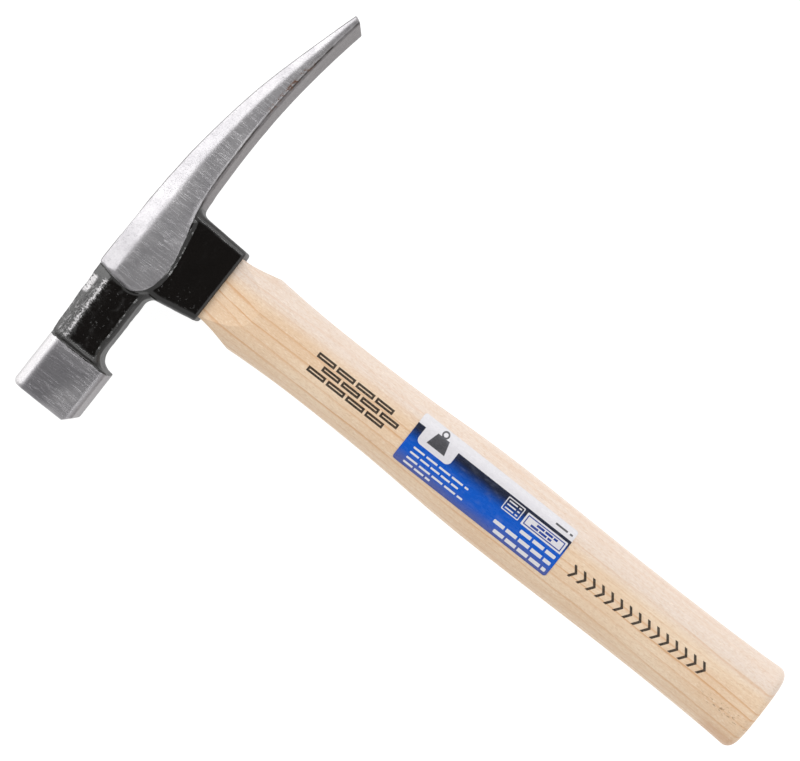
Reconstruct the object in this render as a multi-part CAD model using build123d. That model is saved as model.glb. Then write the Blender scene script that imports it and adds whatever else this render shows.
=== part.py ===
from build123d import *
import math
import os

# Brick hammer lying on its side, in millimetres.
# X runs along the handle, from the back of the head to the butt.
# Y runs along the head, from the striking face to the chisel edge.
# Z is the thickness. The middle plane of the hammer is Z = 0 until the pieces are placed at the end.

# ---------------------------------------------------------------- driving dimensions
# Poll: the square hammer end
POLL_FACE_Y = -70.5
POLL_END_Y = -48.2
POLL_BACK = 2.85
POLL_UNDER = 27.65
POLL_HALF = 11.85
POLL_BEVEL = 3.55
POLL_CHAMFER = 1.7
POLL_BACK_ROUND = 3.45
POLL_STEP = 0.3
FACE_BACK_CORNER = 1.6
FACE_UNDER_CORNER = (2.6, 3.0)
FACE_CHAMFER = 0.8

# Neck between the poll and the eye
NECK_BACK_AT_POLL = 2.45
NECK_BACK_AT_EYE = 0.9
NECK_UNDER = 21.35
NECK_HALF = 9.6
NECK_BEVEL_WIDE = 6.3
NECK_BEVEL_DEEP = 4.35
NECK_CHAMFER = 1.6
NECK_END_Y = -13.85
UNDER_FLARE = 5.95
SIDE_FLARE = 2.55
ARMPIT_ROUND = 3.55

# Cheek: the polished plateau over the eye, outlined from the back round its lower end
CHEEK_HALF = 11.75
CHEEK_BACK_EDGE = [(0.9, -18.55), (1.0, 0.0), (1.35, 13.85), (2.05, 24.7)]
CHEEK_UPPER_END = (14.6, -20.45)
CHEEK_EDGE = [
    CHEEK_UPPER_END,
    (20.05, -18.25),
    (22.9, -13.45),
    (23.7, -6.9),
    (22.1, 3.55),
    (19.55, 13.45),
    (17.2, 24.7),
]
CHEEK_CHAMFER = 1.2
INSET_STEPS = 12
CHEEK_BEVEL_WIDE = (6.8, 6.1)
BEVEL_SLOPE = 0.51

# Blade: (y, back, underside, half width, bevel width, underside chamfer)
BLADE_STATIONS = [
    (24.7, 2.05, 17.2, 11.75, 6.1, 1.2),
    (39.5, 3.55, 16.8, 12.15, 5.35, 1.4),
    (54.3, 5.85, 16.9, 12.85, 4.65, 1.4),
    (69.15, 9.05, 17.75, 13.75, 3.85, 1.3),
    (83.95, 13.2, 19.3, 14.8, 2.85, 1.1),
    (95.8, 16.75, 21.0, 15.8, 1.8, 0.9),
    (105.7, 20.05, 22.8, 16.7, 1.2, 0.8),
]
TIP_BACK = (19.45, 103.5)
TIP_UNDER = (22.1, 102.1)

# Collar: the socket that carries the handle
COLLAR_HALF = 10.85
COLLAR_TOP_X = 11.85
COLLAR_SHOULDER_X = NECK_UNDER + ARMPIT_ROUND
COLLAR_RIM_X = 40.0
COLLAR_POLL_SIDE = (-17.7, -14.7)
COLLAR_BLADE_SIDE = (16.2, 15.3)
COLLAR_ROUND = 2.55
RIM_ROUND = 0.8

# Eye: (x, half length along Y, half width along Z), a little tighter at its waist
EYE_SECTIONS = [(41.5, 12.65, 8.8), (19.75, 11.65, 7.7), (-1.0, 12.25, 8.0)]
EYE_MIDDLE_Y = 0.3
EYE_POWER = 3.0

# Handle: (x, half width along Y, half thickness along Z)
HANDLE_STATIONS = [
    (37.55, 15.8, 11.75),
    (56.3, 15.4, 11.65),
    (74.05, 14.5, 11.35),
    (91.85, 14.3, 11.25),
    (113.6, 14.6, 11.45),
    (139.25, 15.7, 11.75),
    (172.85, 16.4, 11.95),
    (202.45, 16.1, 11.75),
    (237.05, 16.0, 11.65),
    (258.75, 16.3, 11.85),
    (280.3, 17.2, 12.45),
]
HANDLE_POWER = 2.6
OVAL_POINTS = 24
BUTT_ROUND = 2.95
HANDLE_NECK_FLARE = [(40.5, 12.75), (45.45, 13.25), (49.9, 14.2), (54.8, 15.5), (61.25, 17.3)]
HANDLE_NECK_THICK = [(40.0, 9.05), (56.3, 11.65), (61.25, 12.45)]
TENON_END_X = 1.6

# Wedges that spread the tenon in the eye: (depth, thickness at the head, thickness at the toe)
WOODEN_WEDGE = (23.7, 3.35, 0.8)
STEEL_WEDGE = (12.85, 2.15, 0.6)
STEEL_WEDGE_HALF = 5.35
STEEL_WEDGE_OFFSET = 5.35

# Printed label on the upper side of the handle
LABEL_X = (123.45, 191.2)
LABEL_Y = (-9.1, 10.45)
LABEL_CORNER = 1.0
LABEL_THICK = 0.15

REACH = 40.0


# ---------------------------------------------------------------- sections
def blend(low, high, share):
    return low + (high - low) * share


def across_y(y):
    """Sketch plane square to the head, whose local axes are X and Z."""
    return Plane(origin=(0, y, 0), x_dir=(1, 0, 0), z_dir=(0, -1, 0))


def across_x(x):
    """Sketch plane square to the handle, whose local axes are Y and Z."""
    return Plane(origin=(x, 0, 0), x_dir=(0, 1, 0), z_dir=(1, 0, 0))


def polygon(points):
    return make_face(Polyline(points, close=True))


def bar_section(y, back, under, half, bevel_wide, bevel_deep, under_chamfer):
    """Eight-sided section of the head: wide bevels at the back, small chamfers on the underside."""
    upper = [
        (back, half - bevel_deep),
        (back + bevel_wide, half),
        (under - under_chamfer, half),
        (under, half - under_chamfer),
    ]
    lower = [(x, -z) for x, z in reversed(upper)]
    return across_y(y) * polygon(upper + lower)


def oval_section(x, half_wide, half_thick, power, middle_y=0.0):
    """Superellipse square to the handle: nearly flat broad sides and well rounded edges."""
    points = []
    for step in range(OVAL_POINTS):
        angle = 2.0 * math.pi * step / OVAL_POINTS
        wide = math.copysign(abs(math.cos(angle)) ** (2.0 / power), math.cos(angle))
        thick = math.copysign(abs(math.sin(angle)) ** (2.0 / power), math.sin(angle))
        points.append((middle_y + half_wide * wide, half_thick * thick))
    return across_x(x) * make_face(Spline(points, periodic=True))


# ---------------------------------------------------------------- head
def make_poll():
    """Square hammer end with a rounded back and an eased rim on its striking face."""
    section = bar_section(POLL_END_Y, POLL_BACK, POLL_UNDER, POLL_HALF, POLL_BEVEL, POLL_BEVEL, POLL_CHAMFER)
    block = extrude(section, POLL_END_Y - POLL_FACE_Y, dir=(0, -1, 0))
    lengthwise = block.edges().filter_by(Axis.Y)
    back_edges = [edge for edge in lengthwise if edge.center().X < POLL_BACK + POLL_BEVEL + 0.1]
    block = fillet(back_edges, POLL_BACK_ROUND)
    face = block.faces().sort_by(Axis.Y)[0]
    block = chamfer(face.edges(), FACE_CHAMFER)
    corner_x, corner_y = FACE_UNDER_CORNER
    plan = polygon(
        [
            (POLL_BACK, POLL_END_Y),
            (POLL_BACK, POLL_FACE_Y + FACE_BACK_CORNER),
            (POLL_BACK + FACE_BACK_CORNER, POLL_FACE_Y),
            (POLL_UNDER - corner_x, POLL_FACE_Y),
            (POLL_UNDER, POLL_FACE_Y + corner_y),
            (POLL_UNDER, POLL_END_Y),
        ]
    )
    return block & extrude(plan, POLL_HALF, both=True)


def flare(y, reach):
    """Quarter-ellipse rise from 0 to 1 over the last stretch of the neck before the poll."""
    nearness = min(1.0, max(0.0, (POLL_END_Y + reach - y) / reach))
    return 1.0 - math.sqrt(1.0 - nearness * nearness)


def neck_section(y):
    under_rise = flare(y, UNDER_FLARE)
    side_rise = flare(y, SIDE_FLARE)
    back = blend(NECK_BACK_AT_POLL, NECK_BACK_AT_EYE, (y - POLL_END_Y) / (NECK_END_Y - POLL_END_Y))
    return bar_section(
        y,
        blend(back, POLL_BACK + POLL_STEP, side_rise),
        blend(NECK_UNDER, POLL_UNDER - POLL_STEP, under_rise),
        blend(NECK_HALF, POLL_HALF - POLL_STEP, side_rise),
        blend(NECK_BEVEL_WIDE, POLL_BEVEL, side_rise),
        blend(NECK_BEVEL_DEEP, POLL_BEVEL, side_rise),
        NECK_CHAMFER,
    )


def make_neck_armpit():
    """Rounded inside corner between the underside of the neck and the collar."""
    corner_y = COLLAR_POLL_SIDE[0]
    inner_x = NECK_UNDER - 5.0
    arc_start = (NECK_UNDER, corner_y - ARMPIT_ROUND)
    arc_end = (NECK_UNDER + ARMPIT_ROUND, corner_y)
    outline = [
        Polyline(
            arc_end,
            (arc_end[0], corner_y + 2.0),
            (inner_x, corner_y + 2.0),
            (inner_x, arc_start[1] - 3.0),
            (NECK_UNDER, arc_start[1] - 3.0),
            arc_start,
        ),
        RadiusArc(arc_start, arc_end, ARMPIT_ROUND),
    ]
    block = extrude(make_face(outline), NECK_HALF, both=True)
    chain = []
    for edge in block.edges():
        middle = edge.center()
        on_side = abs(abs(middle.Z) - NECK_HALF) < 0.01
        if on_side and middle.X > NECK_UNDER - 0.01 and middle.Y < corner_y:
            chain.append(edge)
    return chamfer(chain, NECK_CHAMFER)


def make_neck():
    """Eight-sided neck that swells smoothly into the poll."""
    steps = [-0.6, 0.0, 0.25, 0.6, 1.2, 2.0, 3.2, 4.6, UNDER_FLARE]
    swelling = loft([neck_section(POLL_END_Y + step) for step in steps])
    straight = loft([neck_section(POLL_END_Y + UNDER_FLARE), neck_section(NECK_END_Y)])
    return swelling + straight + make_neck_armpit()


def back_bevel_cutter(side):
    """Wedge that planes one long bevel along the back of the cheek."""
    start_x, start_y = CHEEK_BACK_EDGE[0]
    end_x, end_y = CHEEK_BACK_EDGE[-1]
    start_edge = start_x + CHEEK_BEVEL_WIDE[0]
    end_edge = end_x + CHEEK_BEVEL_WIDE[1]
    drift = (end_edge - start_edge) / (end_y - start_y)
    extra = 4.0
    behind = start_edge - 3.0 * extra
    ahead = start_edge + extra
    corners = [
        (behind, side * (CHEEK_HALF - 3.0 * extra * BEVEL_SLOPE)),
        (ahead, side * (CHEEK_HALF + extra * BEVEL_SLOPE)),
        (behind, side * (CHEEK_HALF + extra * BEVEL_SLOPE)),
    ]
    plane = Plane(origin=(-drift * extra, start_y - extra, 0), x_dir=(1, 0, 0), z_dir=(0, -1, 0))
    return extrude(plane * polygon(corners), end_y - start_y + 2.0 * extra, dir=(drift, 1, 0))


def inset_curve(curve, distance, end):
    """Smooth curve a fixed distance to the left of another, brought to a given end point."""
    points = []
    for step in range(INSET_STEPS):
        place = step / INSET_STEPS
        along = curve.tangent_at(place)
        points.append(curve.position_at(place) + Vector(-along.Y, along.X) * distance)
    points.append(Vector(end))
    return Spline(points, tangents=[curve.tangent_at(0.0), curve.tangent_at(1.0)])


def make_cheek():
    """Flat plateau over the eye, with a rounded lower end that stands proud of the collar."""
    back_x, back_y = CHEEK_BACK_EDGE[0]
    end_x, end_y = CHEEK_EDGE[-1]
    back = Spline(CHEEK_BACK_EDGE)
    lower = Spline(CHEEK_EDGE, tangents=[(1.0, -0.05), (-0.1, 1.0)])
    top_end = (end_x - CHEEK_CHAMFER, end_y)
    top_lower = inset_curve(lower, CHEEK_CHAMFER, top_end)
    top_back = Spline([(back_x, back_y + CHEEK_CHAMFER)] + CHEEK_BACK_EDGE[1:])
    base = make_face([Line(back @ 0, lower @ 0), lower, Line(lower @ 1, back @ 1), back])
    top = make_face([Line(top_back @ 0, top_lower @ 0), top_lower, Line(top_end, top_back @ 1), top_back])
    shoulder = CHEEK_HALF - CHEEK_CHAMFER
    cap = loft([Pos(0, 0, shoulder) * base, Pos(0, 0, CHEEK_HALF) * top], ruled=True)
    block = extrude(base, shoulder, both=True) + cap + mirror(cap, Plane.XY)
    return block - back_bevel_cutter(1) - back_bevel_cutter(-1)


def make_blade():
    """Curved blade that thins and widens towards a narrow chisel edge."""
    sections = []
    for y, back, under, half, bevel_wide, under_chamfer in BLADE_STATIONS:
        bevel_deep = bevel_wide * BEVEL_SLOPE
        sections.append(bar_section(y, back, under, half, bevel_wide, bevel_deep, under_chamfer))
    run_x = TIP_UNDER[0] - TIP_BACK[0]
    run_y = TIP_UNDER[1] - TIP_BACK[1]
    waste = polygon(
        [
            (TIP_BACK[0] - 5.0 * run_x, TIP_BACK[1] - 5.0 * run_y),
            (TIP_UNDER[0] + 5.0 * run_x, TIP_UNDER[1] + 5.0 * run_y),
            (TIP_UNDER[0] + 5.0 * run_x, TIP_UNDER[1] + REACH),
            (TIP_BACK[0] - 5.0 * run_x, TIP_UNDER[1] + REACH),
        ]
    )
    return loft(sections) - extrude(waste, REACH, both=True)


def make_collar():
    """Socket round the eye, with rounded long edges and a rounded inside corner under the blade."""
    poll_side_top, poll_side_rim = COLLAR_POLL_SIDE
    blade_side_top, blade_side_rim = COLLAR_BLADE_SIDE
    under = CHEEK_EDGE[-1][0]
    arc_start = (under + ARMPIT_ROUND, blade_side_top)
    arc_end = (under, blade_side_top + ARMPIT_ROUND)
    outline = [
        Polyline(
            arc_end,
            (COLLAR_TOP_X, arc_end[1]),
            (COLLAR_TOP_X, poll_side_top),
            (COLLAR_SHOULDER_X, poll_side_top),
            (COLLAR_RIM_X, poll_side_rim),
            (COLLAR_RIM_X, blade_side_rim),
            arc_start,
        ),
        RadiusArc(arc_start, arc_end, ARMPIT_ROUND),
    ]
    block = extrude(make_face(outline), COLLAR_HALF, both=True)
    long_edges = []
    for edge in block.edges():
        middle = edge.center()
        on_side = abs(abs(middle.Z) - COLLAR_HALF) < 0.01
        between_ends = COLLAR_TOP_X + 1.0 < middle.X < COLLAR_RIM_X - 1.0
        if on_side and between_ends and middle.Y < arc_end[1] - 0.1:
            long_edges.append(edge)
    block = fillet(long_edges, COLLAR_ROUND)
    rim = block.faces().sort_by(Axis.X)[-1]
    return fillet(rim.edges(), RIM_ROUND)


def make_eye():
    """The tapered space through the head, which the tenon and its wedges fill."""
    return loft([oval_section(x, wide, thick, EYE_POWER, EYE_MIDDLE_Y) for x, wide, thick in EYE_SECTIONS])


# ---------------------------------------------------------------- handle, wedges and label
def make_grip(growth=0.0):
    """The long oval body of the handle."""
    sections = []
    for x, wide, thick in HANDLE_STATIONS:
        sections.append(oval_section(x, wide + growth, thick + growth, HANDLE_POWER))
    return loft(sections)


def make_handle_neck_limits():
    """Space that the neck of the handle is shaved down to, seen from above and from the side."""
    end_x = HANDLE_STATIONS[-1][0] + 10.0
    start_x = COLLAR_RIM_X
    start = (start_x, HANDLE_NECK_FLARE[0][1])
    flare_edge = [Line(start, HANDLE_NECK_FLARE[0]), Spline(HANDLE_NECK_FLARE)]
    far = Polyline(HANDLE_NECK_FLARE[-1], (end_x, REACH), (end_x, 0), (start_x, 0), start)
    half = extrude(make_face(flare_edge + [far]), REACH, both=True)
    plan = half + mirror(half, Plane.XZ)
    upper = HANDLE_NECK_THICK + [(end_x, REACH)]
    lower = [(x, -z) for x, z in reversed(upper)]
    side = extrude(Plane.XZ * polygon(upper + lower), REACH, both=True)
    return plan & side


def make_handle_body():
    """Grip, shaved neck and the full tenon, before the kerf is sawn."""
    grip = make_grip()
    butt = grip.faces().sort_by(Axis.X)[-1]
    grip = fillet(butt.edges(), BUTT_ROUND) & make_handle_neck_limits()
    length = COLLAR_RIM_X + 1.0 - TENON_END_X
    tenon = make_eye() & Pos(TENON_END_X + length / 2.0, 0, 0) * Box(length, REACH, REACH)
    return grip + tenon


def wedge_block(wedge, half_length, plane):
    """Tapered slip: thick at the back of the head, thin at its toe."""
    depth, thick, toe = wedge
    corners = [
        (TENON_END_X, thick / 2.0),
        (TENON_END_X + depth, toe / 2.0),
        (TENON_END_X + depth, -toe / 2.0),
        (TENON_END_X, -thick / 2.0),
    ]
    return extrude(plane * polygon(corners), half_length, both=True)


def make_label():
    """Thin sheet that follows the upper side of the handle."""
    low_x, high_x = LABEL_X
    low_y, high_y = LABEL_Y
    sheet = RectangleRounded(high_x - low_x, high_y - low_y, LABEL_CORNER)
    column = extrude(Pos((low_x + high_x) / 2.0, (low_y + high_y) / 2.0, 0) * sheet, REACH, dir=(0, 0, 1))
    return column & make_grip(LABEL_THICK) - make_grip()


# ---------------------------------------------------------------- assembly
def make_pieces():
    """Every piece in its place on the hammer, by name."""
    eye = make_eye()
    head = make_poll() + make_neck() + make_cheek() + make_blade() + make_collar() - eye
    wooden_wedge = wedge_block(WOODEN_WEDGE, REACH, Plane.XZ) & eye
    handle = make_handle_body() - wooden_wedge
    steel_wedges = []
    for side in (1, -1):
        plane = Plane(origin=(0, EYE_MIDDLE_Y + side * STEEL_WEDGE_OFFSET, 0))
        steel_wedges.append(wedge_block(STEEL_WEDGE, STEEL_WEDGE_HALF, plane))
    for steel_wedge in steel_wedges:
        handle = handle - steel_wedge
        wooden_wedge = wooden_wedge - steel_wedge
    return {
        "head": [head],
        "handle": [handle],
        "wooden_wedge": [wooden_wedge],
        "steel_wedges": steel_wedges,
        "label": [make_label()],
    }


def main():
    """Place the hammer with its lowest point at Z = 0 and its bounding box centred on the Z axis."""
    pieces = {name: [s for shape in shapes for s in shape.solids()] for name, shapes in make_pieces().items()}
    box = Compound([solid for solids in pieces.values() for solid in solids]).bounding_box()
    shift = Pos(-box.center().X, -box.center().Y, -box.min.Z)
    os.makedirs("parts", exist_ok=True)
    for name, solids in pieces.items():
        placed = [shift * solid for solid in solids]
        node = placed[0] if len(placed) == 1 else Compound(placed)
        export_step(node, os.path.join("parts", name + ".step"))
    print("moved by", shift.position)


main()
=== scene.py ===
import math

import bpy
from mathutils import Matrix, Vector, noise


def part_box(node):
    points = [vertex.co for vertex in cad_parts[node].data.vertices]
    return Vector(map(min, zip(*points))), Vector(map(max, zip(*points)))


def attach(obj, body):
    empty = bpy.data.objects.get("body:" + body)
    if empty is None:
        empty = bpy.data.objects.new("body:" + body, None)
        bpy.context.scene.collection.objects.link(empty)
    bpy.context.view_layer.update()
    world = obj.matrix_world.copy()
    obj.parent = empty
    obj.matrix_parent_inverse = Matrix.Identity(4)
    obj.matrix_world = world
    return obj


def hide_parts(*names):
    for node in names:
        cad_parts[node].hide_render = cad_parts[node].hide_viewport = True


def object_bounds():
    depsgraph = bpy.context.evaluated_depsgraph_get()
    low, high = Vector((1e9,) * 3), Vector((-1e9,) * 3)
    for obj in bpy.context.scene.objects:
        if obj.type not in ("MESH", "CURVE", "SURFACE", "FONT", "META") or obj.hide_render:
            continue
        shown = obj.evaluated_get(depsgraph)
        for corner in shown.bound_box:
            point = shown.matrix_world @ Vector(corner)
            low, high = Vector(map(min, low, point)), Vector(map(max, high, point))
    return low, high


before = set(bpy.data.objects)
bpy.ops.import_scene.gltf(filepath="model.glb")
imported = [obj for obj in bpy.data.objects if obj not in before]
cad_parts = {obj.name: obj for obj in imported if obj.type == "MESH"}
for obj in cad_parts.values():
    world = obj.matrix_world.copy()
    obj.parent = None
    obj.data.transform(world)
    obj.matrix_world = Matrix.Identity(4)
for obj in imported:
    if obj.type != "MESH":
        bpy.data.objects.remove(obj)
cad_low, cad_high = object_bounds()

# Places on the hammer are given in millimetres as in its drawing: X from the line that the head's back comes
# nearest to, Y from the handle's axis towards the chisel edge, and Z from the middle plane.
MM = 0.001
HEAD_BACK = 0.9
head_low, head_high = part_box("head")
handle_low, handle_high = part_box("handle")
BACK_X = head_low.x - HEAD_BACK * MM
AXIS_Y = (handle_low.y + handle_high.y) / 2
MIDDLE_Z = (head_low.z + head_high.z) / 2


# ---------------------------------------------------------------- node helper
class Graph:
    """A material and short ways to add nodes to it. Plain numbers, colours and sockets all do as inputs."""

    def __init__(self, name):
        self.material = bpy.data.materials.new(name)
        self.material.use_nodes = True
        self.tree = self.material.node_tree
        self.shader = self.tree.nodes["Principled BSDF"]

    def node(self, kind, inputs=None, **settings):
        made = self.tree.nodes.new("ShaderNode" + kind)
        for name, value in settings.items():
            setattr(made, name, value)
        for key, value in (inputs or {}).items():
            self.put(made.inputs[key], value)
        return made

    def put(self, socket, value):
        if isinstance(value, bpy.types.NodeSocket):
            self.tree.links.new(value, socket)
        else:
            socket.default_value = value

    def math(self, operation, first, second=0.0):
        made = self.node("Math", operation=operation)
        self.put(made.inputs[0], first)
        self.put(made.inputs[1], second)
        return made.outputs[0]

    def add(self, first, second):
        return self.math("ADD", first, second)

    def subtract(self, first, second):
        return self.math("SUBTRACT", first, second)

    def times(self, first, second):
        return self.math("MULTIPLY", first, second)

    def both(self, first, second):
        return self.math("MINIMUM", first, second)

    def either(self, first, second):
        return self.math("MAXIMUM", first, second)

    def magnitude(self, value):
        """The value without its sign."""
        return self.math("ABSOLUTE", value)

    def away(self, value):
        """One minus the value."""
        return self.math("SUBTRACT", 1.0, value)

    def rise(self, value, start, end):
        """Smooth step from 0 at start to 1 at end."""
        made = self.node("MapRange", {"Value": value}, interpolation_type="SMOOTHSTEP")
        made.inputs["From Min"].default_value = min(start, end)
        made.inputs["From Max"].default_value = max(start, end)
        made.inputs["To Min"].default_value = 0.0 if start < end else 1.0
        made.inputs["To Max"].default_value = 1.0 if start < end else 0.0
        return made.outputs["Result"]

    def spread(self, value, low, high, new_low, new_high):
        """Linear change of range, clamped."""
        made = self.node("MapRange", {"Value": value})
        made.inputs["From Min"].default_value = low
        made.inputs["From Max"].default_value = high
        made.inputs["To Min"].default_value = new_low
        made.inputs["To Max"].default_value = new_high
        return made.outputs["Result"]

    def place(self, stretch=(1.0, 1.0, 1.0), turn=(0.0, 0.0, 0.0)):
        """Position on the hammer in millimetres, stretched and turned for a texture."""
        local = self.node("VectorMath", operation="MULTIPLY_ADD")
        self.put(local.inputs[0], self.node("TexCoord").outputs["Object"])
        self.put(local.inputs[1], (1 / MM,) * 3)
        self.put(local.inputs[2], (-BACK_X / MM, -AXIS_Y / MM, -MIDDLE_Z / MM))
        mapped = self.node("Mapping", {"Vector": local.outputs[0], "Scale": stretch, "Rotation": turn})
        return mapped.outputs[0]

    def axes(self, vector):
        return self.node("SeparateXYZ", {0: vector}).outputs

    def noise(self, vector, scale, detail=2.0, roughness=0.5, distortion=0.0):
        made = self.node("TexNoise", {"Vector": vector, "Scale": scale, "Detail": detail})
        made.inputs["Roughness"].default_value = roughness
        made.inputs["Distortion"].default_value = distortion
        return made.outputs["Fac"]

    def blend(self, factor, first, second):
        """Mix of two colours."""
        made = self.node("Mix", data_type="RGBA")
        self.put(made.inputs[0], factor)
        self.put(made.inputs[6], first)
        self.put(made.inputs[7], second)
        return made.outputs[2]

    def mix(self, factor, first, second):
        """Mix of two numbers."""
        made = self.node("Mix", data_type="FLOAT")
        self.put(made.inputs[0], factor)
        self.put(made.inputs[2], first)
        self.put(made.inputs[3], second)
        return made.outputs[0]

    def mix_vectors(self, factor, first, second):
        made = self.node("Mix", data_type="VECTOR")
        self.put(made.inputs[0], factor)
        self.put(made.inputs[4], first)
        self.put(made.inputs[5], second)
        return made.outputs[1]

    def curve(self, value, points):
        """Value read off a smooth curve through (value, result) points."""
        first, last = points[0][0], points[-1][0]
        low = min(result for _, result in points)
        high = max(result for _, result in points)
        made = self.node("FloatCurve", {"Value": self.spread(value, first, last, 0.0, 1.0)})
        line = made.mapping.curves[0]
        for index, (at, result) in enumerate(points):
            spot = ((at - first) / (last - first), (result - low) / (high - low))
            if index in (0, len(points) - 1):
                line.points[0 if index == 0 else -1].location = spot
            else:
                line.points.new(*spot)
        made.mapping.update()
        return self.spread(made.outputs[0], 0.0, 1.0, low, high)

    def near(self, value, at, reach, soft):
        """1 where the value is within reach of at, fading over soft."""
        beyond = self.subtract(self.magnitude(self.subtract(value, at)), reach)
        return self.away(self.rise(self.math("DIVIDE", beyond, soft), 0.0, 1.0))

    def rectangle(self, x, y, left, right, low, high, corner=0.0, soft=0.06):
        """1 inside a rectangle, whose corners may be round."""
        aside = self.magnitude(self.subtract(x, (left + right) / 2))
        above = self.magnitude(self.subtract(y, (low + high) / 2))
        out_x = self.subtract(aside, (right - left) / 2 - corner)
        out_y = self.subtract(above, (high - low) / 2 - corner)
        if not corner:
            return self.rise(self.either(out_x, out_y), soft, -soft)
        square_x = self.math("POWER", self.either(out_x, 0.0), 2.0)
        square_y = self.math("POWER", self.either(out_y, 0.0), 2.0)
        reach = self.math("SQRT", self.add(square_x, square_y))
        return self.rise(reach, corner + soft, corner - soft)

    def bricks(self, x, y, left, low, length, height, along, courses, line):
        """Outlines of bricks in running bond, every second course half a brick further on."""
        row = self.times(self.subtract(y, low), 1 / height)
        odd = self.math("MODULO", self.math("FLOOR", self.either(row, 0.0)), 2.0)
        start = self.subtract(self.subtract(x, left), self.times(odd, length / 2))
        column = self.times(start, 1 / length)
        from_middle_x = self.magnitude(self.times(self.subtract(self.math("FRACT", column), 0.5), length))
        from_middle_y = self.magnitude(self.times(self.subtract(self.math("FRACT", row), 0.5), height))
        half_joint = line * 0.6
        past_brick = self.either(
            self.subtract(from_middle_x, length / 2 - half_joint),
            self.subtract(from_middle_y, height / 2 - half_joint),
        )
        outline = self.near(past_brick, -line / 2, line / 2 - 0.03, 0.1)
        within = self.both(
            self.near(column, along / 2, along / 2 - 0.001, 0.001),
            self.near(row, courses / 2, courses / 2 - 0.001, 0.001),
        )
        return self.both(outline, within)

    def bump(self, height, distance):
        """Bump whose height is in millimetres."""
        return self.node("Bump", {"Height": height, "Distance": distance * MM, "Strength": 1.0}).outputs[0]


def rgb(red, green, blue):
    """Colour written as 0 to 255 screen values, turned to the linear values that nodes use."""
    parts = []
    for value in (red, green, blue):
        share = value / 255
        parts.append(share / 12.92 if share <= 0.04045 else ((share + 0.055) / 1.055) ** 2.4)
    return (*parts, 1.0)


# ---------------------------------------------------------------- forged head shape
VOXEL = 0.46
# Rounds of smoothing for each group of the head's points, in this order
SOFTENING = {"everywhere": 3, "ground_arrises": 14, "cheek_arrises": 52, "blade_armpit": 35}
BLADE_ARMPIT = Vector((19.5, 17.5))
# Y at which the enamel starts and ends, and the half thickness beyond which there is only ground steel
POLL_PAINT_EDGE = -48.9
ARMPIT_PAINT_EDGE = 18.0
ENAMEL_HALF = 11.2
# The arris between the back bevels and the flat sides, as (y, x)
BEVEL_EDGE = [
    (-48.0, 8.9),
    (24.7, 8.15),
    (39.5, 8.9),
    (54.3, 10.5),
    (69.15, 12.9),
    (83.95, 16.05),
    (98.0, 19.0),
]


def in_millimetres(point):
    """A frame point as a place on the hammer, in millimetres."""
    return Vector(((point.x - BACK_X) / MM, (point.y - AXIS_Y) / MM, (point.z - MIDDLE_Z) / MM))


def smooth_step(value, start, end):
    """Smooth rise from 0 at start to 1 at end."""
    share = min(max((value - start) / (end - start), 0.0), 1.0)
    return share * share * (3 - 2 * share)


def read_off(points, at):
    """The value at one place on a line through (place, value) points."""
    for (start, first), (end, last) in zip(points, points[1:]):
        if at < end:
            share = max(at - start, 0.0) / (end - start)
            return first + (last - first) * share
    return points[-1][1]


def apply_modifiers(piece):
    """Turn what the modifiers make of a piece into its mesh."""
    evaluated = piece.evaluated_get(bpy.context.evaluated_depsgraph_get())
    piece.data = bpy.data.meshes.new_from_object(evaluated)
    piece.modifiers.clear()


def remeshed(node, name):
    """A copy of a CAD node in small even faces."""
    piece = bpy.data.objects.new(name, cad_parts[node].data.copy())
    bpy.context.scene.collection.objects.link(piece)
    modifier = piece.modifiers.new("remesh", "REMESH")
    modifier.mode = "VOXEL"
    modifier.voxel_size = VOXEL * MM
    apply_modifiers(piece)
    piece.data.shade_smooth()
    return piece


def softening_weights(place):
    """How far each group of SOFTENING takes in a point of the head."""
    from_edge = abs(place.x - read_off(BEVEL_EDGE, place.y))
    before_tip = smooth_step(place.y, 98.0, 70.0)
    on_cheek = smooth_step(place.y, -15.5, -11.0) * smooth_step(place.y, 45.0, 15.0)
    from_armpit = (place.xy - BLADE_ARMPIT).length
    return {
        "everywhere": 1.0,
        "ground_arrises": before_tip * smooth_step(from_edge, 4.0, 2.0),
        "cheek_arrises": on_cheek * smooth_step(from_edge, 5.5, 3.0),
        "blade_armpit": smooth_step(from_armpit, 5.0, 2.5),
    }


def soften_arrises(head):
    """Round the arrises as grinding leaves them, each group by its own number of rounds."""
    groups = {name: head.vertex_groups.new(name=name) for name in SOFTENING}
    for vertex in head.data.vertices:
        for name, weight in softening_weights(in_millimetres(vertex.co)).items():
            groups[name].add([vertex.index], weight, "REPLACE")
    for name, rounds in SOFTENING.items():
        modifier = head.modifiers.new("soften_" + name, "SMOOTH")
        modifier.factor = 0.5
        modifier.iterations = rounds
        modifier.vertex_group = name
    apply_modifiers(head)
    head.vertex_groups.clear()


def forging_height(place):
    """How far the surface stands out at a place, in millimetres: slow waves, and lumps under the enamel."""
    enamel = smooth_step(place.y, POLL_PAINT_EDGE, POLL_PAINT_EDGE + 2.0)
    enamel *= smooth_step(place.y, ARMPIT_PAINT_EDGE + 1.0, ARMPIT_PAINT_EDGE - 2.0)
    enamel *= 1.0 if abs(place.z) < ENAMEL_HALF else 0.0
    on_neck = smooth_step(place.y, -19.0, -23.0)
    wide_lumps = noise.noise(place * 0.2) * (0.12 + 0.1 * on_neck)
    small_lumps = noise.noise(place * 0.6) * (0.04 + 0.04 * on_neck)
    waves = noise.noise(Vector((place.x * 0.12, place.y * 0.05, place.z * 0.12))) * 0.05
    return enamel * (wide_lumps + small_lumps) + waves


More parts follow.
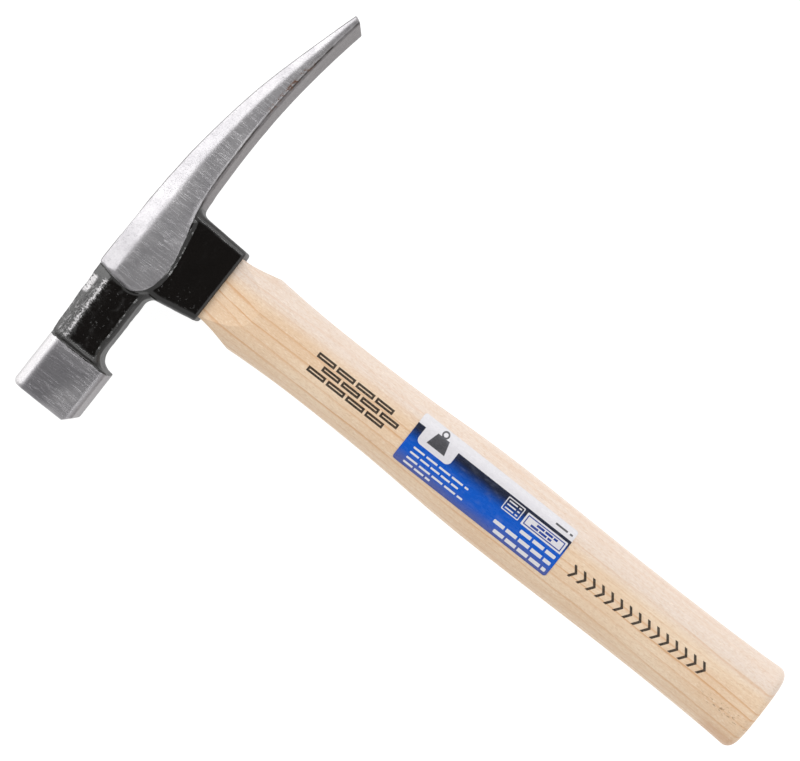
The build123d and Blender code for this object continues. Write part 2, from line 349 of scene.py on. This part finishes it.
def make_forged_head():
    """The head with ground, softened arrises and the uneven surface of a forging under its enamel."""
    head = remeshed("head", "forged_head")
    soften_arrises(head)
    moved = []
    for vertex in head.data.vertices:
        height = forging_height(in_millimetres(vertex.co))
        moved.extend(vertex.co + vertex.normal * height * MM)
    head.data.vertices.foreach_set("co", moved)
    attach(head, "root")
    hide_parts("head")
    return head


# ---------------------------------------------------------------- steel head
STEEL = rgb(164, 162, 165)
STEEL_PALE = rgb(182, 180, 182)
STEEL_GLINT = rgb(206, 204, 206)
BRUSH_MARK = rgb(136, 134, 137)
# Painted shade: a darker tone for the upper cheek, standing in for less light reflected from that part of the
# flat
UPPER_CHEEK_SHADE = rgb(138, 136, 139)
# Painted shade: a darker band across the middle of the poll's flat, between its lit edges
POLL_MIDDLE_SHADE = rgb(118, 116, 120)
# Painted highlight: pale tone on the poll's rounded back, standing in for the back softbox's reflection
POLL_BACK_HIGHLIGHT = rgb(198, 196, 197)
# Coarse underside steel; its darkness is painted shade standing in for the dim reflection of the downward
# faces
SHADED_COARSE_STEEL = rgb(94, 90, 90)
SHADED_COARSE_STEEL_PALE = rgb(136, 130, 130)
# Painted highlight: grey-white steel laid into the enamel where it stands in for reflections
ENAMEL_HIGHLIGHT_STEEL = rgb(176, 174, 175)
# Darker tone along the blade's lower arris and the edges of the back
ARRIS_DARK = rgb(62, 58, 55)
RUST = rgb(112, 80, 60)
ENAMEL = rgb(10, 8, 7)
ENAMEL_PALE = rgb(17, 14, 12)

NECK_SPAN = (-48.2, -19.0)
NECK_ARRIS = (8.75, 7.5)
NECK_UNDER = 21.35
CHEEK_UPPER_EDGE = -18.7
CHEEK_UPPER_SLOPE = 0.14
CHEEK_CHAMFER = 1.2
# Left, right, low and high side of the painted highlight patch on the neck's back bevel, grey steel standing
# in for a softbox reflected in the enamel's lumps
ENAMEL_HIGHLIGHT_PATCH = (1.3, 4.1, -30.4, -23.2)
# The cheek's lower edge, as (y, x)
CHEEK_LOWER_EDGE = [
    (-20.5, 14.6),
    (-18.25, 20.05),
    (-13.45, 22.9),
    (-6.9, 23.7),
    (3.55, 22.1),
    (13.45, 19.55),
    (20, 18.2),
]
# The arris between the blade's flat sides and its underside, as (y, x)
BLADE_ARRIS = [
    (17.0, 18.0),
    (24.7, 16.5),
    (39.5, 15.95),
    (54.3, 16.05),
    (69.15, 16.95),
    (83.95, 18.65),
    (105.7, 22.3),
]
# The back of the cheek and blade, as (y, x)
BACK_LINE = [
    (-18.5, 0.9),
    (0.0, 1.0),
    (24.7, 2.05),
    (39.5, 3.55),
    (54.3, 5.85),
    (69.15, 9.05),
    (83.95, 13.2),
    (105.7, 20.05),
]
# Half the width of that back between its bevels, as (y, z)
BACK_HALF = [
    (-18.5, 8.3),
    (24.7, 8.65),
    (39.5, 9.4),
    (54.3, 10.5),
    (69.15, 11.8),
    (83.95, 13.35),
    (105.7, 16.1),
]


def paint_mask(g, x, y, edge_noise):
    """1 where the black enamel is: the neck and the collar, up to the ground cheek."""
    wobble = g.times(g.subtract(edge_noise, 0.5), 1.4)
    past_poll = g.rise(g.add(y, wobble), POLL_PAINT_EDGE - 0.1, POLL_PAINT_EDGE + 0.1)
    slant = g.add(y, g.add(g.times(x, CHEEK_UPPER_SLOPE), g.times(wobble, 0.3)))
    on_neck = g.rise(slant, CHEEK_UPPER_EDGE + 0.1, CHEEK_UPPER_EDGE - 0.1)
    beyond = g.subtract(g.add(x, g.times(wobble, 0.35)), g.curve(y, CHEEK_LOWER_EDGE))
    below_cheek = g.rise(beyond, -CHEEK_CHAMFER - 0.45, -CHEEK_CHAMFER - 0.15)
    before_blade = g.rise(g.add(y, wobble), ARMPIT_PAINT_EDGE + 0.4, ARMPIT_PAINT_EDGE - 0.4)
    return g.both(past_poll, g.either(on_neck, g.both(below_cheek, before_blade)))


def painted_enamel_highlights(g, x, y):
    """Painted highlights on the neck's back bevel, as grey steel standing in for reflections in the lumpy
    enamel: a patch, a ragged line and ripples.
    """
    smears = g.noise(g.place((0.6, 1.3, 0.6)), 1.0, 4.0, 0.65, 0.5)
    patch = g.times(g.rectangle(x, y, *ENAMEL_HIGHLIGHT_PATCH, 1.2, 0.6), g.rise(smears, 0.34, 0.5))

    inward = g.subtract(g.spread(y, *NECK_SPAN, *NECK_ARRIS), x)
    ragged = g.noise(g.place((0.3, 1.6, 0.3)), 1.0, 3.0, 0.7)
    gaps = g.rise(g.noise(g.place((0.8, 0.5, 0.8)), 1.0, 3.0), 0.36, 0.52)
    line = g.near(inward, g.spread(ragged, 0.3, 0.7, 1.9, -0.2), 0.2, 0.8)
    line = g.both(line, g.both(g.rise(y, -21.5, -23.5), g.rise(y, -47.5, -46.0)))
    line = g.times(line, gaps)

    ripples = g.rise(g.noise(g.place((1.1, 0.4, 1.1)), 1.0, 3.0, 0.6, 0.8), 0.5, 0.62)
    toward_poll = g.both(g.rise(y, -24.0, -28.0), g.rise(y, -48.0, -46.5))
    ripples = g.times(g.times(ripples, g.both(g.rise(inward, 0.2, 1.2), toward_poll)), 0.4)
    return g.either(g.times(g.either(patch, line), 0.85), ripples)


def brushed_colour_with_painted_light(g, x, y, z, across, mottle):
    """Colour of the ground steel before its marks, with painted shade on the upper cheek and the middle of
    the poll and a painted highlight along the poll's back.
    """
    on_poll = g.rise(y, -47.0, -49.0)
    colour = g.blend(g.spread(mottle, 0.35, 0.65, 0.0, 1.0), STEEL, STEEL_PALE)
    colour = g.blend(g.times(g.rise(across, 0.5, 0.8), g.mix(on_poll, 0.7, 0.35)), colour, STEEL_GLINT)
    brushed = g.noise(g.place((0.12, 2.6, 2.6)), 1.0, 3.0, 0.7)
    colour = g.blend(g.times(g.rise(brushed, 0.42, 0.66), g.mix(on_poll, 0.18, 0.4)), colour, BRUSH_MARK)
    # Painted shade: the upper cheek is darkened towards the neck
    upper_cheek_shade = g.both(g.rise(y, 6.0, -10.0), g.rise(y, -47.0, -40.0))
    colour = g.blend(g.times(upper_cheek_shade, 0.4), colour, UPPER_CHEEK_SHADE)
    # Painted shade: a darker band across the middle of the poll
    poll_middle_shade = g.both(g.rise(y, -46.0, -56.0), g.rise(g.add(x, g.times(y, -0.4)), 49.0, 40.0))
    colour = g.blend(g.times(poll_middle_shade, 0.7), colour, POLL_MIDDLE_SHADE)
    # Painted highlight: the poll's rounded back is made paler, as if lit by the back softbox
    poll_back_highlight = g.both(g.both(on_poll, g.rise(x, 8.0, 4.5)), g.rise(g.magnitude(z), 6.0, 8.5))
    return g.blend(poll_back_highlight, colour, POLL_BACK_HIGHLIGHT)


def rough_and_shaded_underside(g, x, y, past_arris):
    """1 on the coarser underside of the blade, and a little less on that of the poll: a coarser grind, whose
    darker colour is painted shade for the dim reflection of these downward faces.
    """
    under_blade = g.both(g.rise(y, 14.0, 16.0), g.rise(past_arris, 0.15, 0.5))
    under_poll = g.both(g.rise(y, -47.0, -49.0), g.rise(x, 26.3, 27.2))
    return g.either(under_blade, g.times(under_poll, 0.6))


def dark_arris_line(g, y, past_arris):
    """Darker line along the blade's lower arris, wider towards the tip."""
    line = g.both(g.rise(y, 14.0, 16.0), g.near(past_arris, 0.0, 0.16, 0.34))
    toward_tip = g.times(g.rise(y, 55.0, 85.0), 0.5)
    arris_darkening = g.either(line, g.times(g.near(past_arris, -0.6, 0.2, 1.5), toward_tip))
    streaks = g.noise(g.place((0.4, 0.1, 0.4)), 1.0, 4.0, 0.65)
    return g.times(arris_darkening, g.spread(streaks, 0.35, 0.6, 0.45, 0.95))


def back_arris(g, x, y, z):
    """1 along the dark edges of the back."""
    at_back = g.rise(g.subtract(x, g.curve(y, BACK_LINE)), 0.5, 0.15)
    inside_arris = g.subtract(g.curve(y, BACK_HALF), g.magnitude(z))
    strip = g.both(g.rise(y, -19.5, -18.0), at_back)
    return g.both(strip, g.rise(inside_arris, 0.8, 0.2))


def rust_mask(g, place, y, past_arris):
    """1 on the rust spots by the blade's lower arris."""
    zone = g.both(g.near(y, 70.0, 3.0, 12.0), g.near(past_arris, -0.5, 0.4, 0.7))
    return g.both(zone, g.rise(g.noise(place, 0.55, 4.0, 0.7), 0.5, 0.6))


def ground_steel(g, place, mottle, fine):
    """Colour, roughness and normal of the poll, cheek and blade."""
    x, y, z = g.axes(place)
    past_arris = g.subtract(x, g.curve(y, BLADE_ARRIS))
    across = g.noise(g.place((0.22, 8.0, 8.0)), 1.0, 4.0, 0.65)
    grain = g.noise(g.place((0.35, 0.9, 0.9)), 1.0, 4.0, 0.75)
    underside = rough_and_shaded_underside(g, x, y, past_arris)
    arris_darkening = dark_arris_line(g, y, past_arris)
    rust = rust_mask(g, place, y, past_arris)

    # The underside's coarse grain is real; its darker colour is painted shade
    coarse_and_shaded = g.blend(g.spread(grain, 0.35, 0.65, 0.0, 1.0), SHADED_COARSE_STEEL, SHADED_COARSE_STEEL_PALE)
    colour = g.blend(g.times(underside, 0.75), brushed_colour_with_painted_light(g, x, y, z, across, mottle), coarse_and_shaded)
    # Darker along the blade's lower arris and the edges of the back
    colour = g.blend(g.either(arris_darkening, g.times(back_arris(g, x, y, z), 0.75)), colour, ARRIS_DARK)
    colour = g.blend(g.times(rust, 0.85), colour, RUST)

    rough = g.spread(g.add(across, fine), 0.6, 1.4, 0.36, 0.48)
    rough = g.mix(g.either(rust, g.times(g.either(arris_darkening, underside), 0.6)), rough, 0.75)

    scratch = g.noise(g.place((0.05, 1.4, 1.4), (0.0, 0.0, 0.5)), 1.0, 2.0, 0.5, 0.6)
    scratches = g.near(scratch, 0.5, 0.002, 0.006)
    height = g.subtract(g.add(across, g.times(fine, 0.6)), g.times(scratches, 0.8))
    height = g.add(height, g.times(g.times(underside, grain), 4.0))
    return colour, rough, g.bump(height, 0.02)


def black_enamel(g, place, mottle, fine):
    """Colour, roughness and normal of the enamel: glossy, duller on the walls, wrinkled towards the back."""
    x, y, _ = g.axes(place)
    colour = g.blend(mottle, ENAMEL, ENAMEL_PALE)

    neck_wall = g.both(g.rise(y, -16.0, -19.0), g.rise(x, NECK_UNDER - 0.9, NECK_UNDER - 0.3))
    armpit_wall = g.both(g.near(y, 17.5, 2.4, 0.6), g.rise(x, 17.6, 18.2))
    rim_wall = g.rise(x, 38.7, 39.5)
    walls = g.either(neck_wall, g.either(armpit_wall, rim_wall))
    rough = g.mix(walls, g.spread(fine, 0.3, 0.7, 0.08, 0.2), 0.5)

    wrinkles = g.noise(g.place((0.5, 0.8, 0.8)), 1.0, 4.0, 0.6, 0.4)
    near_back = g.times(g.rise(y, -18.0, -24.0), g.spread(x, 8.0, 13.0, 1.6, 0.12))
    by_arris = g.times(g.near(x, 6.3, 1.2, 1.6), g.times(g.rise(y, -20.0, -26.0), 2.2))
    specks = g.rise(g.noise(place, 0.9, 3.0, 0.6), 0.64, 0.72)
    height = g.times(g.noise(place, 0.4, 3.0, 0.5), 0.5)
    height = g.add(height, g.times(wrinkles, g.add(near_back, by_arris)))
    height = g.add(height, g.times(specks, g.spread(y, 0.0, -12.0, 0.0, 0.3)))
    return colour, rough, g.bump(height, 0.14)


def head_material():
    """Ground steel with black enamel on the neck and collar."""
    g = Graph("head_steel_and_enamel")
    place = g.place()
    x, y, _ = g.axes(place)
    mottle = g.noise(place, 0.09, 4.0, 0.6)
    fine = g.noise(place, 2.6, 3.0, 0.7)
    steel_colour, steel_rough, steel_bump = ground_steel(g, place, mottle, fine)
    enamel_colour, enamel_rough, enamel_bump = black_enamel(g, place, mottle, fine)
    enamel_highlight = painted_enamel_highlights(g, x, y)
    # Painted highlight: grey steel laid into the enamel on the neck's back bevel, in place of reflections
    enamel_colour = g.blend(enamel_highlight, enamel_colour, ENAMEL_HIGHLIGHT_STEEL)
    enamel_rough = g.mix(enamel_highlight, enamel_rough, 0.35)

    paint = paint_mask(g, x, y, g.noise(place, 0.35, 3.0))
    g.put(g.shader.inputs["Base Color"], g.blend(paint, steel_colour, enamel_colour))
    g.put(g.shader.inputs["Metallic"], g.either(g.away(paint), enamel_highlight))
    g.put(g.shader.inputs["Roughness"], g.mix(paint, steel_rough, enamel_rough))
    g.put(g.shader.inputs["Normal"], g.mix_vectors(paint, steel_bump, enamel_bump))
    g.shader.inputs["IOR"].default_value = 1.6
    return g.material


# ---------------------------------------------------------------- hickory handle
WOOD = rgb(220, 190, 158)
WOOD_PALE = rgb(228, 205, 178)
# Painted sheen: the grey-white tone of the lit, lacquered upper side
WOOD_UPPER_SHEEN = rgb(217, 202, 191)
FLECK_DARK = rgb(204, 172, 142)
FLECK_PALE = rgb(236, 222, 206)
FIBRE = rgb(206, 172, 136)
LATE_WOOD = rgb(201, 150, 102)
PORE = rgb(176, 136, 98)
FLAW = rgb(120, 92, 66)
STAIN = rgb(190, 142, 104)
CHAR = rgb(14, 6, 2)

RING_TILT = (0.79, 0.61)
RING_WIDTH = 2.8
# Spreads the strengths of neighbouring rings evenly
GOLDEN = 0.618
# Left, low, brick length, brick height, bricks along, courses, line width
BRICKWORK = (80.8, -4.4, 8.55, 2.98, 4, 3, 0.8)
# Left, right, middle Y at the left and right, half height, pitch, half line width
CHEVRONS = (197.0, 255.5, -1.5, -0.3, 2.45, 4.0, 0.54)
CHEVRON_LEAN = 0.75


def chevrons(g, x, y):
    """1 on a row of chevrons that point towards the butt."""
    left, right, start_y, end_y, half_tall, pitch, line = CHEVRONS
    across = g.magnitude(g.subtract(y, g.spread(x, left, right, start_y, end_y)))
    step = g.math("FRACT", g.times(g.add(g.subtract(x, left), g.times(across, CHEVRON_LEAN)), 1 / pitch))
    stroke = g.near(step, 0.5, line / pitch, 0.02)
    within = g.near(x, (left + right) / 2, (right - left) / 2, 0.05)
    return g.both(g.both(stroke, g.rise(across, half_tall + 0.05, half_tall - 0.05)), within)


def growth_rings(g, x, y, z, ripple):
    """How dark the late wood of the slanted rings is, each ring a little different."""
    drift = g.noise(g.place((0.005, 0.03, 0.03)), 1.0, 2.0)
    uneven = g.noise(g.place((0.004, 0.12, 0.12)), 1.0, 2.0)
    wander = g.add(g.times(drift, 8.0), g.add(g.times(ripple, 0.7), g.times(uneven, 4.0)))
    across = g.add(g.add(g.times(y, RING_TILT[0]), g.times(z, RING_TILT[1])), wander)
    count = g.times(across, 1 / RING_WIDTH)
    phase = g.math("FRACT", count)
    late_wood = g.both(g.rise(phase, 0.62, 0.95), g.rise(phase, 1.0, 0.965))

    of_ring = g.spread(g.math("FRACT", g.times(g.math("FLOOR", count), GOLDEN)), 0.0, 1.0, 0.3, 1.0)
    strength = g.spread(g.noise(g.place((0.02, 0.3, 0.3)), 1.0, 2.0), 0.35, 0.65, 0.45, 1.0)
    # Painted sheen: the rings fade on the upper side, as if washed out by the lacquer's sheen
    strength = g.times(g.times(strength, of_ring), g.spread(y, 3.0, 9.0, 1.0, 0.3))
    strength = g.times(strength, g.spread(x, 60.0, 140.0, 1.15, 1.0))
    return g.times(g.math("POWER", late_wood, 2.0), strength)


def wood_colour(g, x, y, z, fibre, pores):
    """Pale hickory with flecks, fibres, rings and pores, a painted sheen on the lit upper side, and a few
    flaws and a stain near the butt.
    """
    ripple = g.noise(g.place((0.05, 0.25, 0.25)), 1.0, 3.0)
    blotch = g.noise(g.place((0.02, 0.14, 0.14)), 1.0, 3.0)
    fleck = g.noise(g.place((0.8, 2.2, 2.2)), 1.0, 3.0, 0.65)
    colour = g.blend(g.spread(blotch, 0.35, 0.65, 0.0, 1.0), WOOD, WOOD_PALE)
    # Painted sheen: the upper side paled towards grey-white, as the lit lacquer looks
    colour = g.blend(g.times(g.rise(y, 3.0, 9.0), 0.9), colour, WOOD_UPPER_SHEEN)
    colour = g.blend(g.times(g.rise(fleck, 0.5, 0.66), 0.42), colour, FLECK_DARK)
    colour = g.blend(g.times(g.rise(fleck, 0.46, 0.3), 0.5), colour, FLECK_PALE)
    colour = g.blend(g.times(g.rise(fibre, 0.45, 0.75), 0.45), colour, FIBRE)
    colour = g.blend(growth_rings(g, x, y, z, ripple), colour, LATE_WOOD)
    colour = g.blend(g.times(g.rise(pores, 0.62, 0.72), 0.45), colour, PORE)

    flaw_zone = g.both(g.rise(x, 255.0, 264.0), g.near(y, -7.0, 1.0, 1.5))
    flaws = g.both(flaw_zone, g.rise(g.noise(g.place((0.7, 1.6, 1.6)), 1.0, 2.0), 0.6, 0.68))
    colour = g.blend(g.times(flaws, 0.6), colour, FLAW)
    stain = g.times(g.rise(x, 262.0, 270.0), g.rise(g.add(y, g.times(ripple, 2.0)), -11.0, -13.5))
    return g.blend(g.times(stain, 0.45), colour, STAIN)


def handle_material():
    """Lacquered hickory, with a patch of brickwork and a row of chevrons burnt in its upper side."""
    g = Graph("hickory")
    place = g.place()
    x, y, z = g.axes(place)
    fibre = g.noise(g.place((0.035, 3.2, 3.2)), 1.0, 5.0, 0.65)
    pores = g.noise(g.place((0.4, 6.0, 6.0)), 1.0, 2.0, 0.5)
    colour = wood_colour(g, x, y, z, fibre, pores)

    marks = g.either(g.bricks(x, y, *BRICKWORK), chevrons(g, x, y))
    burnt = g.times(marks, g.rise(z, 4.0, 5.0))
    charred = g.times(burnt, g.spread(g.noise(place, 1.8, 3.0), 0.3, 0.7, 0.86, 1.0))
    relief = g.subtract(g.add(fibre, g.times(pores, 0.5)), g.times(burnt, 1.5))
    g.put(g.shader.inputs["Base Color"], g.blend(charred, colour, CHAR))
    g.put(g.shader.inputs["Roughness"], g.mix(burnt, g.spread(fibre, 0.3, 0.7, 0.38, 0.5), 0.3))
    g.put(g.shader.inputs["Normal"], g.bump(relief, 0.04))
    return g.material


# ---------------------------------------------------------------- wedges
def wedge_wood_material():
    """Darker hardwood with a straight grain."""
    g = Graph("wedge_hardwood")
    grain = g.noise(g.place((0.2, 3.0, 3.0)), 1.0, 5.0, 0.6)
    g.put(g.shader.inputs["Base Color"], g.blend(grain, rgb(150, 105, 66), rgb(196, 152, 104)))
    g.put(g.shader.inputs["Roughness"], g.spread(grain, 0.3, 0.7, 0.5, 0.7))
    g.put(g.shader.inputs["Normal"], g.bump(grain, 0.04))
    return g.material


def wedge_steel_material():
    """Plain rolled steel."""
    g = Graph("wedge_steel")
    grain = g.noise(g.place(), 1.5, 5.0, 0.6)
    g.put(g.shader.inputs["Base Color"], g.blend(grain, rgb(120, 118, 116), rgb(170, 168, 166)))
    g.shader.inputs["Metallic"].default_value = 1.0
    g.put(g.shader.inputs["Roughness"], g.spread(grain, 0.3, 0.7, 0.3, 0.5))
    g.put(g.shader.inputs["Normal"], g.bump(grain, 0.04))
    return g.material


# ---------------------------------------------------------------- label
INK_BLUE = rgb(8, 84, 186)
INK_VIOLET = rgb(70, 84, 150)
INK_NAVY = rgb(20, 28, 50)
INK_DARK = rgb(34, 34, 40)
INK_PANEL = rgb(36, 62, 140)
FILM_WHITE = rgb(211, 209, 213)
SCUFF = rgb(150, 160, 190)

# Left, right, low and high side of each box
TAB = (126.6, 141.0, 0.2, 11.0)
BADGE = (164.2, 171.6, 0.3, 5.4)
PANEL = (172.9, 190.5, 0.2, 5.1)
# Left, low, brick length, brick height, bricks along, courses, line width
PANEL_BRICKS = (176.0, 1.35, 3.7, 1.3, 2.5, 2, 0.42)
# The white strip starts at this Y
STRIP_LOW = 6.2
# Left, right, middle Y and thickness of the rows of dashes that stand for print
STRIP_ROW = (182.7, 190.2, 8.0, 0.7)
PALE_ROWS = [
    (127.4, 151.5, -1.8, 0.7),
    (127.4, 148.5, -3.8, 0.7),
    (127.4, 152.0, -5.9, 0.7),
    (127.4, 139.0, -7.7, 0.7),
    (174.5, 190.0, -1.8, 1.3),
    (165.0, 190.0, -4.6, 1.3),
    (167.0, 190.0, -7.4, 1.3),
    (165.2, 170.6, 4.2, 0.5),
    (165.2, 170.6, 2.9, 0.5),
    (165.2, 170.6, 1.5, 0.5),
]
# Sign of a scale weight: middle X, foot and shoulder Y, half width at each, ring height, radius and half line
WEIGHT_SIGN = (133.8, 2.2, 7.2, 3.9, 2.5, 8.4, 1.15, 0.3)


def weight_sign(g, x, y):
    """1 on the sign of a scale weight: a tapered body under a ring."""
    middle, foot, shoulder, foot_half, shoulder_half, ring_y, ring_radius, half_line = WEIGHT_SIGN
    aside = g.subtract(x, middle)
    half_wide = g.spread(y, foot, shoulder, foot_half, shoulder_half)
    body = g.rise(g.subtract(g.magnitude(aside), half_wide), 0.06, -0.06)
    body = g.both(body, g.near(y, (foot + shoulder) / 2, (shoulder - foot) / 2, 0.06))
    from_ring = g.subtract(y, ring_y)
    distance = g.math("SQRT", g.add(g.times(aside, aside), g.times(from_ring, from_ring)))
    return g.either(body, g.near(distance, ring_radius, half_line, 0.06))


def dashes(g, x, y, left, right, middle, thick):
    """1 on a row of dashes, whose length differs from row to row."""
    row = g.rectangle(x, y, left, right, middle - thick / 2, middle + thick / 2, thick * 0.3)
    pitch = 4.1 + (middle * 1.7) % 2.3
    step = g.math("FRACT", g.times(g.subtract(x, left - 0.3), 1 / pitch))
    return g.times(row, g.near(step, 0.48, 0.41, 0.02))


def shrunk(box, in_x, in_y):
    """A box whose sides are drawn in, by in_x at the left and right and by in_y at the low and high side."""
    left, right, low, high = box
    return (left + in_x, right - in_x, low + in_y, high - in_y)


def white_print(g, x, y):
    """1 where the film is white: the strip, the tab, the panel, the badge's line and the rows of dashes."""
    badge_outer = g.rectangle(x, y, *BADGE, 0.4)
    badge_inner = g.rectangle(x, y, *shrunk(BADGE, 0.35, 0.35), 0.3)
    shapes = [
        g.rectangle(x, y, *TAB, 2.0),
        g.rectangle(x, y, *PANEL, 0.3),
        g.times(badge_outer, g.away(badge_inner)),
    ]
    shapes += [dashes(g, x, y, *row) for row in PALE_ROWS]
    white = g.rise(y, STRIP_LOW - 0.05, STRIP_LOW + 0.05)
    for shape in shapes:
        white = g.either(white, shape)
    return white


def panel_print(g, x, y):
    """1 on the panel's frame line and its bricks."""
    outer = g.rectangle(x, y, *shrunk(PANEL, 0.7, 0.6))
    inner = g.rectangle(x, y, *shrunk(PANEL, 1.1, 1.0))
    return g.either(g.times(outer, g.away(inner)), g.bricks(x, y, *PANEL_BRICKS))


def label_material():
    """Glossy film: a white strip over a navy to blue ground, with plain dashes and signs for its print."""
    g = Graph("printed_film")
    x, y, _ = g.axes(g.place())
    cloud = g.noise(g.place((0.03, 0.1, 0.1)), 1.0, 3.0)
    lift = g.add(y, g.times(g.subtract(cloud, 0.5), 5.0))
    colour = g.blend(g.rise(lift, -9.5, -4.5), INK_VIOLET, INK_BLUE)
    colour = g.blend(g.rise(lift, -1.5, 5.5), colour, INK_NAVY)
    colour = g.blend(white_print(g, x, y), colour, FILM_WHITE)
    colour = g.blend(panel_print(g, x, y), colour, INK_PANEL)
    dark_print = g.either(dashes(g, x, y, *STRIP_ROW), weight_sign(g, x, y))
    colour = g.blend(g.times(dark_print, 0.92), colour, INK_DARK)
    scuffs = g.noise(g.place((0.4, 0.8, 0.8)), 1.0, 4.0)
    colour = g.blend(g.times(g.rise(scuffs, 0.55, 0.8), 0.12), colour, SCUFF)
    g.put(g.shader.inputs["Base Color"], colour)
    g.put(g.shader.inputs["Roughness"], g.spread(scuffs, 0.3, 0.7, 0.22, 0.34))
    g.put(g.shader.inputs["Normal"], g.bump(g.noise(g.place((0.06, 0.15, 0.15)), 1.0, 3.0), 0.15))
    return g.material


# ---------------------------------------------------------------- stage, light and camera
FLOOR_SIZE = 6.0
FLOOR_GREY = 0.25
FLOOR_GLOW = 0.9
FLOOR_GAP = 0.0002
WHITE = (1.0, 1.0, 1.0, 1.0)
TENT_BRIGHTNESS = 0.74
OPENING_BRIGHTNESS = 0.05
# Degrees from straight up between which the dark opening brightens to the full tent
TENT_OPENING = (9, 27)
LIGHT_DISTANCE = 1.2
# Name, direction, size and brightness of each light
SOFTBOXES = [
    ("back_softbox", (-0.9, 0.1, 0.38), (1.1, 1.0), 2.3),
    ("blade_softbox", (0.1, 0.85, 0.5), (1.4, 0.7), 1.2),
    ("blade_strip", (0.0, 0.55, 0.8), (1.2, 0.06), 9.0),
    ("butt_strip", (0.6, 0.0, 0.75), (0.06, 1.0), 9.0),
]
CAMERA_HEIGHT = 0.889
CAMERA_OFFSET = Vector((-0.03127, -0.00312, 0.0))
CAMERA_LENS = 113.4
CAMERA_SENSOR = 36.0
CAMERA_ROLL = math.radians(38.22)


def make_floor():
    """Pale floor just under the hammer."""
    bpy.ops.mesh.primitive_plane_add(size=FLOOR_SIZE, location=(0, 0, cad_low.z - FLOOR_GAP))
    floor = bpy.context.object
    floor.name = "floor"
    g = Graph("pale_floor")
    g.shader.inputs["Base Color"].default_value = (FLOOR_GREY, FLOOR_GREY, FLOOR_GREY, 1.0)
    g.shader.inputs["Roughness"].default_value = 0.9
    g.shader.inputs["Specular IOR Level"].default_value = 0.0
    g.shader.inputs["Emission Color"].default_value = WHITE
    g.shader.inputs["Emission Strength"].default_value = FLOOR_GLOW
    floor.data.materials.append(g.material)


def make_softbox(name, direction, size, brightness):
    """Rectangular light that faces the hammer, with the given radiance."""
    data = bpy.data.lights.new(name, "AREA")
    data.shape = "RECTANGLE"
    data.size, data.size_y = size
    data.energy = brightness * math.pi * size[0] * size[1]
    light = bpy.data.objects.new(name, data)
    bpy.context.scene.collection.objects.link(light)
    light.location = Vector(direction).normalized() * LIGHT_DISTANCE
    light.rotation_euler = (-light.location).to_track_quat("-Z", "Y").to_euler()


def make_tent():
    """White surroundings, darker straight above, where the camera looks in."""
    world = bpy.data.worlds.new("studio")
    bpy.context.scene.world = world
    world.use_nodes = True
    tree = world.node_tree
    background = tree.nodes["Background"]
    direction = tree.nodes.new("ShaderNodeTexCoord").outputs["Generated"]
    axes = tree.nodes.new("ShaderNodeSeparateXYZ")
    tree.links.new(direction, axes.inputs[0])
    opening = tree.nodes.new("ShaderNodeMapRange")
    opening.interpolation_type = "SMOOTHSTEP"
    tree.links.new(axes.outputs["Z"], opening.inputs["Value"])
    opening.inputs["From Min"].default_value = math.cos(math.radians(TENT_OPENING[1]))
    opening.inputs["From Max"].default_value = math.cos(math.radians(TENT_OPENING[0]))
    opening.inputs["To Min"].default_value = TENT_BRIGHTNESS
    opening.inputs["To Max"].default_value = OPENING_BRIGHTNESS
    tree.links.new(opening.outputs["Result"], background.inputs["Strength"])
    background.inputs["Color"].default_value = WHITE


def make_camera():
    """Camera above the hammer, turned so that the handle runs down to the right."""
    data = bpy.data.cameras.new("camera")
    data.lens = CAMERA_LENS
    data.sensor_width = CAMERA_SENSOR
    camera = bpy.data.objects.new("camera", data)
    bpy.context.scene.collection.objects.link(camera)
    camera.location = Vector((0, 0, MIDDLE_Z + CAMERA_HEIGHT)) + CAMERA_OFFSET
    camera.rotation_euler = (0, 0, CAMERA_ROLL)
    bpy.context.scene.camera = camera


def dress(piece, material):
    """Give a piece one material in place of what it has."""
    piece.data.materials.clear()
    piece.data.materials.append(material)


# ---------------------------------------------------------------- the whole scene
dress(make_forged_head(), head_material())
dress(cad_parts["handle"], handle_material())
dress(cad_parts["wooden_wedge"], wedge_wood_material())
dress(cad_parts["steel_wedges"], wedge_steel_material())
dress(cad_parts["label"], label_material())
make_floor()
make_tent()
for softbox in SOFTBOXES:
    make_softbox(*softbox)
make_camera()
bpy.context.scene.view_settings.view_transform = "Standard"
